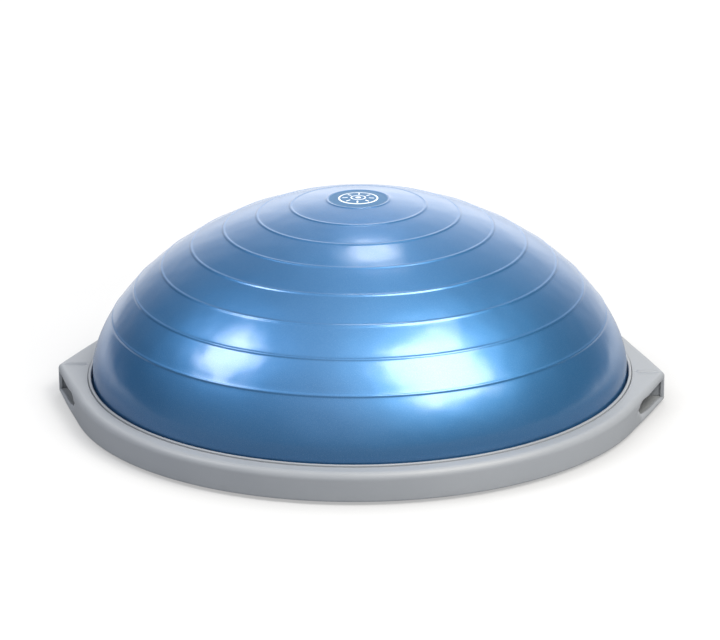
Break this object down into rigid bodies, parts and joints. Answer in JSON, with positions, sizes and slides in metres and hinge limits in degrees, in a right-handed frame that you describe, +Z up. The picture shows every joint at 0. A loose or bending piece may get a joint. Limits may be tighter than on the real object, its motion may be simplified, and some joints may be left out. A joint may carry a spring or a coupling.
{
  "type": "balance dome trainer",
  "caption": "Balance trainer: an inflated vinyl half-ball with moulded grip rings, clamped into a rigid round platform with two pointed handle lugs, rubber feet and an air plug underneath.",
  "frame": {"origin": "centre of the platform at floor level, under the rubber feet", "axes": "+Z up along the dome's axis; the two handle lugs point along +X and -X; the part is the same seen from +Y and -Y"},
  "size_m": [0.66, 0.6244, 0.2278],
  "materials": {
    "blue_vinyl": "satin",
    "grey_shell": "satin",
    "grey_ring": "satin",
    "grey_base": "matte",
    "black_rubber": "matte",
    "valve_rubber": "matte",
    "plug_rubber": "matte",
    "screw_steel": "satin"
  },
  "bodies": {
    "platform": {"clamp_ring": "grey_ring", "rim_shell": "grey_shell", "base_plate": "grey_base", "valve_seat": "valve_rubber", "foot_1": "black_rubber", "foot_2": "black_rubber", "foot_3": "black_rubber", "foot_4": "black_rubber", "foot_5": "black_rubber", "foot_6": "black_rubber", "foot_7": "black_rubber", "foot_8": "black_rubber", "screw_1": "screw_steel", "screw_2": "screw_steel", "screw_3": "screw_steel", "screw_4": "screw_steel", "screw_5": "screw_steel", "screw_6": "screw_steel", "screw_7": "screw_steel", "screw_8": "screw_steel", "screw_9": "screw_steel", "screw_10": "screw_steel", "screw_11": "screw_steel", "screw_12": "screw_steel"},
    "dome": {"dome_bladder": "blue_vinyl"},
    "plug": {"air_plug": "plug_rubber"}
  },
  "joints": [
    {"name": "dome_press", "type": "slide", "parent": "platform", "child": "dome", "axis": [0, 0, -1], "range_m": [0, 0.08], "stiffness_N_per_m": 12000, "springref_m": -0.002, "deforming": ["dome_bladder"]},
    {"name": "plug_pull", "type": "slide", "parent": "platform", "child": "plug", "axis": [0, 0, -1], "range_m": [0, 0.022]}
  ]
}
